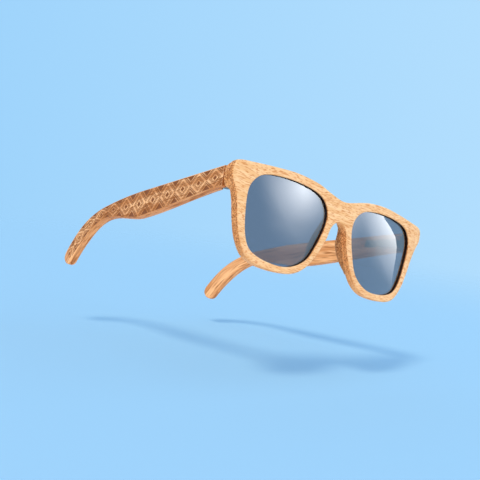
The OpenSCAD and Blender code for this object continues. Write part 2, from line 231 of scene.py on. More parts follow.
# Outline of the front's right half, clockwise from the top of the bridge to the arch below it
HALF_KNOTS = [
    (0, ARCH_TOP), (BRIDGE_W / 2, ARCH_TOP + 0.32 * BROW_DIP), (BRIDGE_W, BROW - 0.23 * BROW_DIP),
    (LENS_X - 0.08 * LENS_A, BROW), (LENS_X + 0.436 * LENS_A, BROW - 0.15 * RIM_TOP),
    (HALF_W - 0.436 * LENS_A, BROW - 0.45 * RIM_TOP), (HALF_W - 0.119 * LENS_A, BROW - 0.7 * RIM_TOP),
    (HALF_W - 0.016 * LENS_A, BROW - 1.25 * RIM_TOP), (HALF_W, BROW - 2.5 * RIM_TOP),
    (HALF_W - 0.107 * LENS_A, BROW - 3.8 * RIM_TOP),
    (SIDE_X + 0.036 * LENS_A, 0.153 * LENS_B), (SIDE_X - 0.05 * LENS_A, -0.251 * LENS_B),
    (SIDE_X - 0.17 * LENS_A, -0.645 * LENS_B), (SIDE_X - 0.375 * LENS_A, 0.182 * LENS_B - FOOT),
    (LENS_X + 0.49 * LENS_A, 0.034 * LENS_B - FOOT), (LENS_X + 0.04 * LENS_A, -FOOT),
    (LENS_X - 0.317 * LENS_A, 0.044 * LENS_B - FOOT), (LENS_X - 0.578 * LENS_A, 0.192 * LENS_B - FOOT),
    (NOSE_X + 0.392 * LENS_A, -0.744 * LENS_B), (NOSE_X + 0.222 * LENS_A, -0.429 * LENS_B),
    (NOSE_X + 0.087 * LENS_A, -0.094 * LENS_B), (NOSE_X + 0.012 * LENS_A, 0.212 * LENS_B),
    (0.142 * BRIDGE_W, ARCH_LOW - 0.15 * RIM_TOP), (0, ARCH_LOW),
]
LAST = len(HALF_KNOTS) - 1
FRONT_KNOTS = HALF_KNOTS + [(-x, w) for x, w in HALF_KNOTS[LAST - 1:0:-1]]

# The same outline at the back, where the end-piece widens to the butt face
END_CORNER = [(HALF_W - 3, 18.3), (HALF_W - 0.1, 17.7), (HALF_W, 13.2), (HALF_W - 0.2, 8.5)]
BACK_KNOTS = FRONT_KNOTS[:6] + END_CORNER + FRONT_KNOTS[10:]

# The end-piece deepens over short ramps, across and up. END_SPOT lies where it is at its full depth.
END_FROM = (59.7, 7.4)
END_RAMP = (1.6, 1.4)
END_SPOT = (HALF_W - 2, 14)

# Places on the lens outline and on the front's outline that face each other, counted in knots, and the
# number of steps to each. Places below 0 run down the middle of the bridge, and on past -1 round the rim.
FACING = [
    (3, 3.15, 8), (4, 1.9, 10), (5, 0, 10), (5.7, -1, 8), (6, -2.5, 6), (7, -4.5, 10),
    (8, -6.45, 10), (9, -8.55, 10), (10, -10.4, 10), (11, -12, 12), (12, -14.65, 26),
    (13, -17.2, 26), (14, -19.5, 10), (15, -20.85, 8),
]

# Rows of points across the front's face
FACE_ROWS = 7

# Stretches of the two outlines that a nose pad lies between
PAD_RIM = (17.6, 22.2)
PAD_LENS = (6, 9)


def linear(hex_colour):
    """Linear colour of an sRGB hex value."""
    channels = (int(hex_colour[i:i + 2], 16) / 255 for i in (1, 3, 5))
    return [c / 12.92 if c <= 0.04045 else ((c + 0.055) / 1.055) ** 2.4 for c in channels] + [1.0]


def ease(t):
    """Smooth step from 0 to 1."""
    t = min(max(t, 0.0), 1.0)
    return t * t * (3 - 2 * t)


def mix(a, b, t):
    """Point between two points."""
    return tuple(p + (q - p) * t for p, q in zip(a, b))


def curve_at(knots, at):
    """Point of the closed smooth curve through the knots, at a place counted in knots."""
    i = math.floor(at)
    t = at - i
    near = [knots[(i + k) % len(knots)] for k in (-1, 0, 1, 2)]
    return tuple(
        0.5 * (2 * b + (c - a) * t + (2 * a - 5 * b + 4 * c - d) * t * t
               + (3 * b - a - 3 * c + d) * t ** 3)
        for a, b, c, d in zip(*near))


def side_of(knots, at):
    """Unit vector to the right of the curve's direction at a place."""
    near = 0.02
    (x0, w0), (x1, w1) = curve_at(knots, at - near), curve_at(knots, at + near)
    size = math.hypot(x1 - x0, w1 - w0)
    return (w1 - w0) / size, (x0 - x1) / size


def moved(point, direction, d):
    """Point moved along a direction."""
    return point[0] + direction[0] * d, point[1] + direction[1] * d


def bow_at(across):
    """How far the bow sets a place of the front back."""
    return BOW_R - math.sqrt(BOW_R * BOW_R - across * across)


def on_front(across, up, depth):
    """Place in the part of a point of the bowed front: across, up and behind its face."""
    back = bow_at(across) + depth
    return (across, back * math.cos(LEAN) - up * math.sin(LEAN) - MID_Y,
            back * math.sin(LEAN) + up * math.cos(LEAN) + RISE)


def in_temple(out, back, up):
    """Place in the part of a point of the right temple: outwards, back and up from the pivot."""
    return (PIVOT[0] + out * math.cos(TOE_IN) - back * math.sin(TOE_IN),
            PIVOT[1] + out * math.sin(TOE_IN) + back * math.cos(TOE_IN), PIVOT[2] + up)


def mirrored(points):
    """Points of the other side."""
    return [(-x, y, z) for x, y, z in points]


def strip(a, b, count):
    """Faces between two rows of points, from where each row starts."""
    return [(a + k, a + k + 1, b + k + 1, b + k) for k in range(count - 1)]


def tube(rings, around):
    """Faces of a closed tube, from the number of its rings and of the points round each."""
    faces = [(i * around + k, i * around + (k + 1) % around,
              (i + 1) * around + (k + 1) % around, (i + 1) * around + k)
             for i in range(rings - 1) for k in range(around)]
    return faces + [tuple(range(around)), tuple(range((rings - 1) * around, rings * around))]


def new_mesh(name, points, faces, material, burn_and_shade=None):
    """Object from points in millimetres, welded, with its crisp edges kept sharp."""
    mesh = bpy.data.meshes.new(name)
    mesh.from_pydata([[c * MM for c in p] for p in points], [], faces)
    if burn_and_shade:
        mesh.attributes.new("burn_and_shade", "FLOAT", "POINT").data.foreach_set("value", burn_and_shade)
    bm = bmesh.new()
    bm.from_mesh(mesh)
    bmesh.ops.remove_doubles(bm, verts=bm.verts, dist=1e-6)
    bmesh.ops.dissolve_degenerate(bm, edges=bm.edges, dist=1e-7)
    bmesh.ops.recalc_face_normals(bm, faces=bm.faces)
    bm.to_mesh(mesh)
    bm.free()
    mesh.materials.append(material)
    made = bpy.data.objects.new(name, mesh)
    bpy.context.scene.collection.objects.link(made)
    set_edges(made)
    return made


def set_edges(piece):
    """Smooth faces, with edges past an angle kept sharp."""
    bm = bmesh.new()
    bm.from_mesh(piece.data)
    for face in bm.faces:
        face.smooth = True
    for edge in bm.edges:
        edge.smooth = edge.calc_face_angle(0) < SHARP
    bm.to_mesh(piece.data)
    bm.free()


def cut(piece, boxes):
    """Takes closed boxes, each eight corners in millimetres, out of a piece."""
    faces = [(0, 1, 3, 2), (4, 6, 7, 5), (0, 4, 5, 1), (2, 3, 7, 6), (0, 2, 6, 4), (1, 5, 7, 3)]
    for corners in boxes:
        tool = new_mesh("cutter", corners, faces, piece.data.materials[0])
        step = piece.modifiers.new("cut", "BOOLEAN")
        step.object = tool
        step.operation = "DIFFERENCE"
        step.solver = "EXACT"
        made = bpy.data.meshes.new_from_object(
            piece.evaluated_get(bpy.context.evaluated_depsgraph_get()))
        piece.modifiers.remove(step)
        piece.data = made
        bpy.data.objects.remove(tool)
    set_edges(piece)


def lay_grain(piece, place):
    """Stores where each point lies in the board, for the grain to follow."""
    spots = [c for vertex in piece.data.vertices for c in place(*vertex.co)]
    piece.data.attributes.new("lay", "FLOAT_VECTOR", "POINT").data.foreach_set("vector", spots)


def add(tree, kind, inputs=None, **settings):
    """Node with its settings, its inputs set to values or linked to sockets."""
    made = tree.nodes.new(kind)
    for key, value in settings.items():
        setattr(made, key, value)
    for key, value in (inputs or {}).items():
        if isinstance(value, bpy.types.NodeSocket):
            tree.links.new(value, made.inputs[key])
        else:
            made.inputs[key].default_value = value
    return made


def new_material(name):
    """Material with an empty node tree, and its tree."""
    made = bpy.data.materials.new(name)
    made.use_nodes = True
    made.node_tree.nodes.clear()
    return made, made.node_tree


def wood_patterns(tree, axis, streak, fleck, drift):
    """Growth bands, flecks and pores, which run along the fibres of the wood."""
    lay = add(tree, "ShaderNodeAttribute", attribute_name="lay").outputs["Vector"]
    # Fibres drift a little to and fro across the grain
    wander = add(tree, "ShaderNodeTexNoise", {"Vector": lay, "Scale": 1 / (drift[0] * MM),
                                              "Detail": 1.0})
    fibres = add(tree, "ShaderNodeVectorMath", {0: wander.outputs["Color"], 1: [drift[1] * MM] * 3,
                                                2: lay}, operation="MULTIPLY_ADD")
    # Growth bands are long and soft, flecks are dashes. Real pores are under 0.1 mm wide and are
    # drawn coarser, so that they show.
    patterns = []
    for along, across, detail in ((*streak, 4.0), (*fleck, 1.0), (*PORE, 1.0)):
        scale = [1 / (across * MM)] * 3
        scale[axis] = 1 / (along * MM)
        stretched = add(tree, "ShaderNodeMapping", {"Vector": fibres.outputs[0], "Scale": scale})
        noise = add(tree, "ShaderNodeTexNoise", {"Vector": stretched.outputs[0], "Scale": 1.0,
                                                 "Detail": detail})
        patterns.append(noise.outputs["Fac"])
    return patterns


def wood_material(name, look, axis, streak, fleck, drift, painted_shade=1.0):
    """Solid wood: bands and flecks run along the grain axis and show as dots on the end grain."""
    made, tree = new_material(name)
    bands, dashes, dots = wood_patterns(tree, axis, streak, fleck, drift)
    # End grain drinks more oil, turns darker and shows its open pores as dots
    place = add(tree, "ShaderNodeTexCoord")
    facing = add(tree, "ShaderNodeSeparateXYZ", {"Vector": place.outputs["Normal"]})
    ends = add(tree, "ShaderNodeMath", {0: facing.outputs[axis]}, operation="ABSOLUTE")
    open_pores = add(tree, "ShaderNodeMapRange", {"Value": dots, "From Min": 0.38, "From Max": 0.62})
    pores = add(tree, "ShaderNodeMix", {"Factor": open_pores.outputs[0], "A": linear(look.ends),
                                        "B": linear(look.pores)}, data_type="RGBA")
    # Each layer covers or tints the ones before it where its pattern rises from a low to a high value
    colour = linear(look.mid)
    for pattern, low, high, over, how in (
            (bands, 0.41, 0.57, linear(look.pale), "MIX"),
            (dashes, 0.5, 0.7, linear(look.dark), "MIX"),
            (ends.outputs[0], 0.5, 0.9, pores.outputs["Result"], "MULTIPLY")):
        share = add(tree, "ShaderNodeMapRange", {"Value": pattern, "From Min": low, "From Max": high})
        layer = add(tree, "ShaderNodeMix", {"Factor": share.outputs[0], "A": colour, "B": over},
                    data_type="RGBA", blend_type=how)
        colour = layer.outputs["Result"]
    # Painted shade: the whole wood is darkened by this factor where it stands in for shade; at 1 it does
    # nothing
    shaded = add(tree, "ShaderNodeMix", {"Factor": 1.0, "A": colour, "B": [painted_shade, painted_shade, painted_shade, 1.0]},
                data_type="RGBA", blend_type="MULTIPLY")
    # Burnt temple engraving, and in the front's lens groove the cutter's scorch with painted shade
    burn_and_shade = add(tree, "ShaderNodeAttribute", attribute_name="burn_and_shade")
    burnt_and_shaded = add(tree, "ShaderNodeMix", {"Factor": burn_and_shade.outputs["Fac"], "A": shaded.outputs["Result"],
                                        "B": linear(look.burnt_and_shaded)}, data_type="RGBA")
    # Flecks are a little rougher than the wood round them, and sunk into it
    rough = add(tree, "ShaderNodeMapRange", {"Value": dashes, "From Min": 0.4, "From Max": 0.7,
                                             "To Min": 0.45, "To Max": 0.62})
    bump = add(tree, "ShaderNodeBump", {"Height": dashes, "Strength": 0.2, "Distance": 0.2 * MM},
               invert=True)
    shader = add(tree, "ShaderNodeBsdfPrincipled", {
        "Base Color": burnt_and_shaded.outputs["Result"], "Roughness": rough.outputs[0], "IOR": 1.5,
        "Specular IOR Level": 0.25, "Normal": bump.outputs[0]})
    add(tree, "ShaderNodeOutputMaterial", {"Surface": shader.outputs[0]})
    return made


def metal_material(name, colour, rough, grit):
    """Steel with scratches from its finishing, 4 mm long, which spread its highlight."""
    # Real scratches lie closer together and are drawn coarser, so that they show
    made, tree = new_material(name)
    place = add(tree, "ShaderNodeTexCoord")
    grain = add(tree, "ShaderNodeMapping", {"Vector": place.outputs["Object"],
                                            "Scale": [1 / (4 * MM), 1 / (4 * MM), 1 / (grit * MM)]})
    lines = add(tree, "ShaderNodeTexNoise", {"Vector": grain.outputs[0], "Scale": 1.0, "Detail": 2.0})
    spread = add(tree, "ShaderNodeMapRange", {"Value": lines.outputs["Fac"], "From Min": 0.3,
                                              "From Max": 0.7, "To Min": rough - 0.08,
                                              "To Max": rough + 0.1})
    shader = add(tree, "ShaderNodeBsdfPrincipled", {
        "Base Color": linear(colour), "Metallic": 1.0, "Roughness": spread.outputs[0]})
    add(tree, "ShaderNodeOutputMaterial", {"Surface": shader.outputs[0]})
    return made


def lens_material(tint):
    """Polycarbonate, moulded, polished and flash coated: a neutral smoke tint under a bright gloss."""
    made, tree = new_material("polycarbonate_smoke_coated")
    place = add(tree, "ShaderNodeTexCoord")
    # Faint orange peel of the moulding, about 9 mm across
    peel = add(tree, "ShaderNodeTexNoise", {"Vector": place.outputs["Object"], "Scale": 1 / (9 * MM)})
    bump = add(tree, "ShaderNodeBump", {"Height": peel.outputs["Fac"], "Strength": 0.02,
                                        "Distance": 0.2 * MM})
    shader = add(tree, "ShaderNodeBsdfPrincipled", {
        "Base Color": linear(tint), "Roughness": 0.02, "IOR": 1.58, "Transmission Weight": 1.0,
        "Coat Weight": 1.0, "Coat IOR": 1.8, "Coat Roughness": 0.02, "Normal": bump.outputs[0],
        "Coat Normal": bump.outputs[0]})
    add(tree, "ShaderNodeOutputMaterial", {"Surface": shader.outputs[0]})
    return made


class FrontSettings(bpy.types.PropertyGroup):
    """Edges and colours of the front and the nose pads"""
    edge: bpy.props.FloatProperty(
        name="Outer edge", description="Radius of the front's outer edge", unit="LENGTH",
        default=0.6 * MM, min=0.2 * MM, max=1.2 * MM)
    opening_edge: bpy.props.FloatProperty(
        name="Opening edge", description="Radius of the lens opening's edges", unit="LENGTH",
        default=0.35 * MM, min=0.1 * MM, max=0.6 * MM)
    back_edge: bpy.props.FloatProperty(
        name="Back edge", description="Radius of the edge at the back", unit="LENGTH",
        default=0.8 * MM, min=0.2 * MM, max=1.2 * MM)
    pale: bpy.props.StringProperty(
        name="Pale wood", description="Colour between the growth bands", default="#F8DBAE")
    mid: bpy.props.StringProperty(
        name="Band", description="Colour of the growth bands", default="#EFCA95")
    dark: bpy.props.StringProperty(
        name="Fleck", description="Colour of the short flecks", default="#D5985F")
    ends: bpy.props.StringProperty(
        name="End grain", description="Tint of the end grain", default="#FBE6D0")
    pores: bpy.props.StringProperty(
        name="Pores", description="Tint of the end grain's pores", default="#AC8A70")
    # Dark of the lens groove: partly scorch by its cutter, partly painted shade where the groove lies in
    # shade
    burnt_and_shaded: bpy.props.StringProperty(
        name="Scorch", description="Colour of the lens groove, scorched by its cutter", default="#2A170C")


class TempleSettings(bpy.types.PropertyGroup):
    """Edges, engraving and colours of the temples"""
    edge: bpy.props.FloatProperty(
        name="Edge", description="Radius of a temple's long edges", unit="LENGTH",
        default=0.6 * MM, min=0.2 * MM, max=1.2 * MM)
    tip_edge: bpy.props.FloatProperty(
        name="Tip edge", description="Radius of the edges at a temple's tip", unit="LENGTH",
        default=1.3 * MM, min=0.2 * MM, max=2 * MM)
    depth: bpy.props.FloatProperty(
        name="Engraving depth", description="Depth of the engraving", unit="LENGTH",
        default=0.2 * MM, min=0.05 * MM, max=0.5 * MM)
    pitch: bpy.props.FloatProperty(
        name="Lozenge", description="Length of one lozenge of the engraving", unit="LENGTH",
        default=13 * MM, min=8 * MM, max=20 * MM)
    pale: bpy.props.StringProperty(
        name="Pale wood", description="Colour between the streaks", default="#FDD5A5")
    mid: bpy.props.StringProperty(
        name="Streak", description="Colour of the long streaks", default="#D49C66")
    dark: bpy.props.StringProperty(
        name="Fleck", description="Colour of the long flecks", default="#AC7442")
    ends: bpy.props.StringProperty(
        name="End grain", description="Tint of the end grain", default="#FBE6D0")
    pores: bpy.props.StringProperty(
        name="Pores", description="Tint of the end grain's pores", default="#AC8A70")
    burnt_and_shaded: bpy.props.StringProperty(
        name="Burnt", description="Colour of the engraved wood", default="#8A5526")


class LensSettings(bpy.types.PropertyGroup):
    """Crown and tint of the lenses"""
    crown: bpy.props.FloatProperty(
        name="Crown", description="How far the middle of a lens stands forward of its edge",
        unit="LENGTH", default=0.6 * MM, min=0.2 * MM, max=1.4 * MM)
    tint: bpy.props.StringProperty(
        name="Tint", description="Colour that the smoke lens lets through", default="#74707D")


class HingeSettings(bpy.types.PropertyGroup):
    """Colours of the hinges' steel"""
    satin: bpy.props.StringProperty(
        name="Satin steel", description="Colour of the plates, sliders and housings", default="#9A8C76")
    turned: bpy.props.StringProperty(
        name="Turned steel", description="Colour of the screws and nuts", default="#7C7E82")
    drawn: bpy.props.StringProperty(
        name="Drawn wire", description="Colour of the springs", default="#A3A5A8")


class StageSettings(bpy.types.PropertyGroup):
    """Colours and strengths of the backdrop, the floor and the light"""
    sky_left: bpy.props.StringProperty(
        name="Backdrop left", description="Colour of the backdrop at the left", default="#9FD4FC")
    sky_right: bpy.props.StringProperty(
        name="Backdrop right", description="Colour of the backdrop at the right", default="#B2DEFE")
    floor: bpy.props.StringProperty(
        name="Floor", description="Colour of the floor", default="#98D1FD")
    bounce: bpy.props.StringProperty(
        name="Bounce", description="Colour that the floor throws back on the part", default="#EDD2B8")
    soft: bpy.props.StringProperty(
        name="Soft light", description="Colour of the light from all round", default="#F4F7FF")
    lamp: bpy.props.StringProperty(
        name="Lamp", description="Colour of the lamp that throws the shadow", default="#FFDDB8")
    fill: bpy.props.FloatProperty(
        name="Fill", description="Strength of the light from all round", default=0.64)
    key: bpy.props.FloatProperty(
        name="Key", description="Extra strength of the light from the front", default=0.4)
    sun: bpy.props.FloatProperty(
        name="Sun", description="Strength of the lamp that throws the shadow", default=1.57)
    panel: bpy.props.FloatProperty(
        name="Panel", description="Strength of the panel that the lenses reflect", default=5.2)


def spokes():
    """Places on the lens outline and on the front's outline that face each other all round."""
    found = []
    for (lens_a, front_a, _), (lens_b, front_b, steps) in zip(FACING, FACING[1:]):
        found += [mix((lens_a, front_a), (lens_b, front_b), k / steps) for k in range(steps)]
    return found


def block_depth(across, up):
    """Thickness of the front: even round the rims, deeper at the end-piece up to the butt face."""
    butt = (BUTT_Y + up * math.sin(LEAN)) / math.cos(LEAN) - bow_at(across)
    share = ease((across - END_FROM[0]) / END_RAMP[0]) * ease((up - END_FROM[1]) / END_RAMP[1])
    return FRONT_T + (butt - FRONT_T) * share


def bore_section(edge):
    """Lens opening from face to back: how far into the rim and how deep, and its scorch and painted shade.
    """
    lip = [(edge * (1 - math.sin(a)), edge * (1 - math.cos(a))) for a in QUARTER]
    seat, back = LENS_IN - LENS_CLEAR, LENS_IN + LENS_T + LENS_CLEAR
    groove = [(0, edge + SCORCH_SHADE_FROM), (0, edge + SCORCH_SHADE_FULL), (0, seat), (GROOVE, seat),
              (GROOVE, back), (0, back)]
    section = lip + groove + [(out, FRONT_T - deep) for out, deep in reversed(lip)]
    # Scorch by the cutter with painted shade: dark from just inside the front edge, round the lens, to the
    # back
    scorch_and_shade = [0, 0, 0, 0] + [0.1, 1, 1, 1, 1, 1] + [1, 0.9, 0.6, 0]
    return section, scorch_and_shade


def rim_wall(place, edge, back):
    """Outer wall of the front from face to back at a place, and where the face and the back end."""
    rows = 4
    rim, wide = curve_at(FRONT_KNOTS, place), curve_at(BACK_KNOTS, place)
    inwards = side_of(FRONT_KNOTS, place)
    share = (block_depth(*wide) - FRONT_T) / (block_depth(*END_SPOT) - FRONT_T)
    wide = mix(rim, wide, min(max(share, 0), 1))
    deep = block_depth(*wide)
    wall = [on_front(*moved(rim, inwards, edge * (1 - math.sin(a))), edge * (1 - math.cos(a)))
            for a in QUARTER]
    for k in range(1, rows):
        at = edge + (deep - back - edge) * k / rows
        turn = ease((at - FRONT_T / 2) / (deep - FRONT_T / 2)) if deep > FRONT_T else 0
        wall.append(on_front(*mix(rim, wide, turn), at))
    wall += [on_front(*moved(wide, inwards, back * (1 - math.sin(a))), deep - back * (1 - math.cos(a)))
             for a in reversed(QUARTER)]
    return wall, moved(rim, inwards, edge), moved(wide, inwards, back)


def bridge_cut(share, edge, back):
    """Line through the middle of the bridge, where the halves meet, and its ends on face and back."""
    face_end, back_end = ((0, ARCH_TOP - r + (ARCH_LOW - ARCH_TOP + 2 * r) * share) for r in (edge, back))
    return [on_front(*face_end, 0), on_front(*back_end, FRONT_T)], face_end, back_end


def front_sections(look, bore):
    """Closed sections all round the right lens, each with its wall's count and if it is on the rim."""
    edge, opening, back = (r / MM for r in (look.edge, look.opening_edge, look.back_edge))
    shares = [k / FACE_ROWS for k in range(1, FACE_ROWS)]
    found = []
    for lens_place, front_place in spokes():
        x, up = curve_at(LENS_KNOTS, lens_place)
        lens, out = (x + LENS_X, up), side_of(LENS_KNOTS, lens_place)
        on_rim = not -1 < front_place < 0
        if on_rim:
            place = front_place if front_place >= 0 else front_place + LAST + 1
            wall, face_end, back_end = rim_wall(place, edge, back)
        else:
            wall, face_end, back_end = bridge_cut(-front_place, edge, back)
        start = moved(lens, out, opening)
        face = [on_front(*mix(start, face_end, share), 0) for share in shares]
        rear = [mix(start, back_end, share) for share in shares]
        # Bore from face to back, then the back outwards, the wall and the face inwards
        section = [on_front(*moved(lens, out, d), deep) for d, deep in bore]
        section += [on_front(*spot, block_depth(*spot)) for spot in rear] + wall[::-1] + face[::-1]
        found.append((section, len(wall), on_rim))
    return found


def front_half(look):
    """Points, faces and scorch with painted shade of the front's right half."""
    bore, scorch_and_shade = bore_section(look.opening_edge / MM)
    sections = front_sections(look, bore)
    points, burn_and_shade, starts = [], [], []
    for section, _, _ in sections:
        starts.append(len(points))
        points += section
        burn_and_shade += scorch_and_shade + [0] * (len(section) - len(scorch_and_shade))
    head = len(bore) + FACE_ROWS - 1
    faces = []
    for i, (_, wall_a, rim_a) in enumerate(sections):
        j = (i + 1) % len(sections)
        _, wall_b, rim_b = sections[j]
        a, b = starts[i], starts[j]
        faces += strip(a, b, head + 1)
        # The halves meet at the bridge, so there is no wall there
        if rim_a and rim_b:
            faces += strip(a + head, b + head, wall_a)
        face_a, face_b = a + head + wall_a - 1, b + head + wall_b - 1
        faces += strip(face_a, face_b, FACE_ROWS)
        faces.append((face_a + FACE_ROWS - 1, a, b, face_b + FACE_ROWS - 1))
    return points, faces, burn_and_shade


def recess(side):
    """Corners of the room that the hinge plate needs in the end-piece."""
    return [(side * (PIVOT[0] + x), PIVOT[1] + y, PIVOT[2] - HINGE_LOW + z)
            for x in (-RECESS_IN, KNUCKLE_ROOM) for y in (-RECESS_DEEP, PIVOT_BACK)
            for z in (-PLATE_ROOM, PLATE_ROOM)]


class MakeFront(bpy.types.Operator):
    """Make the wooden front"""
    bl_idname = "sunglasses.make_front"
    bl_label = "Front"

    def execute(self, context):
        look = context.scene.sunglasses_front
        # Beech, sanded fine and oiled: pale, with short brown ray flecks along the grain. Real flecks
        # are 0.2 mm wide and are drawn 0.4 mm wide, so that they show.
        wood = wood_material("beech_sanded_oiled", look, **FRONT_GRAIN)
        points, faces, burn_and_shade = front_half(look)
        count = len(points)
        piece = new_mesh("front", points + mirrored(points),
                         faces + [tuple(i + count for i in reversed(f)) for f in faces], wood, burn_and_shade * 2)
        cut(piece, [recess(1), recess(-1)])
        lay_grain(piece, lambda x, y, z: (x, y, z))
        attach(piece, "front")
        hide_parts("front_frame")
        return {"FINISHED"}


def pad_mesh():
    """Points and faces of the right nose pad, a rounded ridge behind the nose side of the rim."""
    steps, rows, tries = 60, 10, 60
    pad_r = (PAD_L * PAD_L / 4 + PAD_D * PAD_D) / (2 * PAD_D)
    lens_edge = [curve_at(LENS_KNOTS, PAD_LENS[0] + (PAD_LENS[1] - PAD_LENS[0]) * k / tries)
                 for k in range(tries)]
    columns = []
    for i in range(steps + 1):
        place = PAD_RIM[0] + (PAD_RIM[1] - PAD_RIM[0]) * i / steps
        rim, inwards = curve_at(FRONT_KNOTS, place), side_of(FRONT_KNOTS, place)
        off = rim[1] + PAD_LOW
        crown = PAD_D - pad_r + math.sqrt(max(pad_r * pad_r - off * off, 0))
        if crown < PAD_LEAST:
            continue
        width = min(math.hypot(x + LENS_X - rim[0], w - rim[1]) for x, w in lens_edge) - PAD_SHORT
        soft = min(PAD_EDGE, crown)
        column = [on_front(*moved(rim, inwards, -PAD_PROUD), FRONT_T - PAD_SINK)]
        for k in range(rows + 1):
            d = width * (0.5 - 0.5 * math.cos(math.pi * k / rows))
            near = min(d, width - d)
            drop = soft - math.sqrt(max(soft * soft - max(soft - near, 0) ** 2, 0))
            column.append(on_front(*moved(rim, inwards, d if k else -PAD_PROUD), FRONT_T + crown - drop))
        column.append(on_front(*moved(rim, inwards, width), FRONT_T - PAD_SINK))
        columns.append(column)
    return [p for column in columns for p in column], tube(len(columns), len(columns[0]))


class MakeNosePads(bpy.types.Operator):
    """Make the two nose pads"""
    bl_idname = "sunglasses.make_nose_pads"
    bl_label = "Nose pads"

    def execute(self, context):
        look = context.scene.sunglasses_front
        # Beech again, shaped and oiled, its sides end grain. Painted shade darkens the whole of each pad.
        wood = wood_material("beech_shaped_oiled_painted_shade", look, **FRONT_GRAIN, painted_shade=0.7)
        points, faces = pad_mesh()
        for side, place in (("right", points), ("left", mirrored(points))):
            piece = new_mesh("pad_" + side, place, faces, wood)
            lay_grain(piece, lambda x, y, z: (x, y, z))
            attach(piece, "front")
            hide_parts("nose_pad_" + side)
        return {"FINISHED"}


def lens_mesh(crown):
    """Points and faces of the right lens: two crowned faces and the edge that lies in the groove."""
    around, rows = 120, 12
    places = [len(LENS_KNOTS) * i / around for i in range(around)]
    edge = [moved(curve_at(LENS_KNOTS, at), side_of(LENS_KNOTS, at), GROOVE - LENS_CLEAR) for at in places]
    points, faces = [], []
    for back in (0, LENS_T):
        points.append(on_front(LENS_X, 0, LENS_IN + back - crown))
        for k in range(1, rows + 1):
            part = k / rows
            points += [on_front(LENS_X + x * part, w * part,
                                LENS_IN + back - crown * (1 - part * part)) for x, w in edge]
    half = 1 + around * rows
    for base in (0, half):
        for i in range(around):
            j = (i + 1) % around
            faces.append((base, base + 1 + i, base + 1 + j))
            for k in range(rows - 1):
                row = base + 1 + k * around
                faces.append((row + i, row + around + i, row + around + j, row + j))
    rim = 1 + around * (rows - 1)
    faces += [(rim + i, half + rim + i, half + rim + (i + 1) % around, rim + (i + 1) % around)
              for i in range(around)]
    return points, faces


class MakeLenses(bpy.types.Operator):
    """Make the two lenses"""
    bl_idname = "sunglasses.make_lenses"
    bl_label = "Lenses"

    def execute(self, context):
        look = context.scene.sunglasses_lens
        points, faces = lens_mesh(look.crown / MM)
        smoke = lens_material(look.tint)
        for side, place in (("right", points), ("left", mirrored(points))):
            piece = new_mesh("smoke_lens_" + side, place, faces, smoke)
            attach(piece, "front")
            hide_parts("lens_" + side)
        return {"FINISHED"}


def slope_at(s):
    """Slope of a temple's top edge at a distance along it."""
    if s < STRAIGHT_L:
        return BUTT_SLOPE
    if s < BEND_AT:
        return BUTT_SLOPE + (BEND_SLOPE - BUTT_SLOPE) * (s - STRAIGHT_L) / (BEND_AT - STRAIGHT_L)
    return BEND_SLOPE + (TIP_SLOPE - BEND_SLOPE) * min((s - BEND_AT) / BEND_L, 1)


def arc_to(start, slope, radius, end):
    """Point where an arc of the top edge has turned from one slope to another."""
    return (start[0] + radius * (math.sin(end) - math.sin(slope)),
            start[1] + radius * (math.cos(end) - math.cos(slope)))


def top_at(s):
    """Point of a temple's top edge, back and up from the pivot: straight, shallow arc, bend, tip."""
    run = min(s, STRAIGHT_L)
    at = (run * math.cos(BUTT_SLOPE) - PIVOT_BACK, BUTT_H / 2 - run * math.sin(BUTT_SLOPE))
    if s > STRAIGHT_L:
        radius = (BEND_AT - STRAIGHT_L) / (BEND_SLOPE - BUTT_SLOPE)
        at = arc_to(at, BUTT_SLOPE, radius, slope_at(min(s, BEND_AT)))
    if s > BEND_AT:
        at = arc_to(at, BEND_SLOPE, BEND_L / (TIP_SLOPE - BEND_SLOPE), slope_at(s))
    rest = max(s - BEND_AT - BEND_L, 0)
    return at[0] + rest * math.cos(TIP_SLOPE), at[1] - rest * math.sin(TIP_SLOPE)


def height_at(s):
    """Height of a temple, square to its top edge."""
    if s < WIDE_AT:
        return BUTT_H + (WIDE_H - BUTT_H) * ease(s / WIDE_AT)
    if s < BEND_AT:
        return WIDE_H + (NECK_H - WIDE_H) * ease((s - WIDE_AT) / (BEND_AT - WIDE_AT))
    return NECK_H + (TIP_H - NECK_H) * ease((s - BEND_AT) / BEND_L)


def along_temple(x, y, z):
    """Where a point of the right temple lies in its board: through it, along its bent top edge, down."""
    rounds = 6
    x, y, z = x / MM - PIVOT[0], y / MM - PIVOT[1], z / MM - PIVOT[2]
    out = x * math.cos(TOE_IN) + y * math.sin(TOE_IN)
    back = y * math.cos(TOE_IN) - x * math.sin(TOE_IN)
    s = back + PIVOT_BACK
    for _ in range(rounds):
        (top_back, top_up), slope = top_at(max(s, 0)), slope_at(s)
        s += (back - top_back) * math.cos(slope) - (z - top_up) * math.sin(slope) if s > 0 else 0
    return out * MM, s * MM, math.hypot(back - top_back, z - top_up) * MM


def band(value, low, high):
    """Soft-edged band, 1 between two values."""
    return ease((value - low) / BAND_EDGE + 0.5) * ease((high - value) / BAND_EDGE + 0.5)


def engraved(s, off, half, look):
    """Depth of the engraving, 0 to 1: a chain of lozenges in plain bands, chevrons between them."""
    along, up = abs(s * MM / look.pitch % 1 - 0.5) * 2, abs(off) / half
    bead = band(abs((along - up) * BEADS % 1 - 0.5), -1, BEAD_FILL)
    depth = band(along + up, *BEAD_BAND) * bead + sum(band(along + up, *ends) for ends in PLAIN_BANDS)
    # It fades out at the butt and at the tip
    start = ease((s - ENGRAVE_FROM) / ENGRAVE_FADE[0])
    return min(1.0, depth) * start * ease((TOP_L + ENGRAVE_PAST - s) / ENGRAVE_FADE[1])


